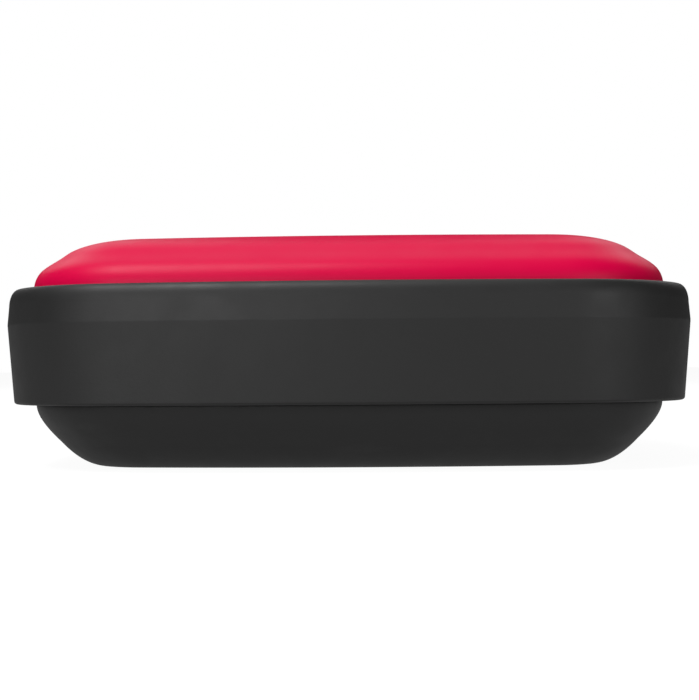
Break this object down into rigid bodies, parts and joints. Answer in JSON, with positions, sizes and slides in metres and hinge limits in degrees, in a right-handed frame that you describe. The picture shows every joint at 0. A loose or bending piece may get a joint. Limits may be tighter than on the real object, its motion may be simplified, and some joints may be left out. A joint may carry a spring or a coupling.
{
  "type": "digital audio player",
  "caption": "Screenless clip-on music player: bowed rounded-square body with a pillow-shaped red key cap, black socket band and sprung full-back clip.",
  "frame": {"origin": "centre of the clip's flat outer face, on which the player lies", "axes": "+Z out of the key face, +Y towards the end with the sockets and the clip's hinge, +X across"},
  "size_m": [0.038, 0.038, 0.0122],
  "materials": {
    "red_soft_touch": "soft-touch satin",
    "black_plastic": "fine spark-eroded matt",
    "black_rubber": "matt",
    "clear_silicone": "translucent matt",
    "clear_plastic": "clear",
    "spring_steel": "bright",
    "dark_screw_steel": "black oxide",
    "green_board": "solder mask",
    "black_moulding": "moulded epoxy",
    "cream_ceramic": "fired ceramic",
    "silver_foil": "laminated pouch foil",
    "white_nylon": "natural nylon",
    "red_lead": "insulated wire",
    "black_lead": "insulated wire"
  },
  "bodies": {
    "player_body": {"front_cap": "red_soft_touch", "frame_band": "black_plastic", "cap_gasket": "black_rubber", "back_plate": "black_plastic", "case_screw_1": "dark_screw_steel", "case_screw_2": "dark_screw_steel", "case_screw_3": "dark_screw_steel", "case_screw_4": "dark_screw_steel", "keypad_membrane": "clear_silicone", "play_dome": "spring_steel", "next_dome": "spring_steel", "volume_up_dome": "spring_steel", "previous_dome": "spring_steel", "volume_down_dome": "spring_steel", "playlist_dome": "spring_steel", "power_dome": "spring_steel", "status_light_pipe": "clear_plastic", "main_board": "green_board", "processor_chip": "black_moulding", "audio_chip": "black_moulding", "power_chip": "black_moulding", "power_inductor": "black_moulding", "clock_crystal": "spring_steel", "flash_memory": "black_moulding", "radio_shield": "spring_steel", "chip_antenna": "cream_ceramic", "status_led": "clear_plastic", "battery_socket": "white_nylon", "board_screw_left": "dark_screw_steel", "board_screw_right": "dark_screw_steel", "headphone_jack": "black_moulding", "usb_shell": "spring_steel", "usb_tongue": "black_moulding", "battery": "silver_foil", "battery_tape": "white_nylon", "battery_plug": "white_nylon", "battery_lead_positive": "red_lead", "battery_lead_negative": "black_lead", "body_grip_pad": "black_rubber", "clip_pin": "spring_steel", "clip_spring": "spring_steel"},
    "clip": {"clip_shell": "black_plastic", "clip_grip_pad": "black_rubber"},
    "play_button": {"play_key": "red_soft_touch"},
    "next_button": {"next_key": "red_soft_touch"},
    "volume_up_button": {"volume_up_key": "red_soft_touch"},
    "previous_button": {"previous_key": "red_soft_touch"},
    "volume_down_button": {"volume_down_key": "red_soft_touch"},
    "playlist_button": {"playlist_key": "red_soft_touch"},
    "power_button": {"power_key": "red_soft_touch"}
  },
  "joints": [
    {"name": "clip_hinge", "type": "hinge", "parent": "clip", "child": "player_body", "pos_m": [0, 0.011, 0.0021], "axis": [-1, 0, 0], "range_deg": [0, 10], "stiffness_Nm_per_rad": 0.28, "springref_deg": -10.31, "deforming": ["clip_spring"]},
    {"name": "play_press", "type": "slide", "parent": "player_body", "child": "play_button", "axis": [0, 0, -1], "range_m": [0, 0.00025], "stiffness_N_per_m": 800, "springref_m": -0.0006, "deforming": ["play_dome"]},
    {"name": "next_press", "type": "slide", "parent": "player_body", "child": "next_button", "axis": [0, 0, -1], "range_m": [0, 0.00025], "stiffness_N_per_m": 800, "springref_m": -0.0006, "deforming": ["next_dome"]},
    {"name": "volume_up_press", "type": "slide", "parent": "player_body", "child": "volume_up_button", "axis": [0, 0, -1], "range_m": [0, 0.00025], "stiffness_N_per_m": 800, "springref_m": -0.0006, "deforming": ["volume_up_dome"]},
    {"name": "previous_press", "type": "slide", "parent": "player_body", "child": "previous_button", "axis": [0, 0, -1], "range_m": [0, 0.00025], "stiffness_N_per_m": 800, "springref_m": -0.0006, "deforming": ["previous_dome"]},
    {"name": "volume_down_press", "type": "slide", "parent": "player_body", "child": "volume_down_button", "axis": [0, 0, -1], "range_m": [0, 0.00025], "stiffness_N_per_m": 800, "springref_m": -0.0006, "deforming": ["volume_down_dome"]},
    {"name": "playlist_press", "type": "slide", "parent": "player_body", "child": "playlist_button", "axis": [0, 0, -1], "range_m": [0, 0.00025], "stiffness_N_per_m": 800, "springref_m": -0.0006, "deforming": ["playlist_dome"]},
    {"name": "power_press", "type": "slide", "parent": "player_body", "child": "power_button", "axis": [0, 0, -1], "range_m": [0, 0.00025], "stiffness_N_per_m": 800, "springref_m": -0.0006, "deforming": ["power_dome"]}
  ]
}
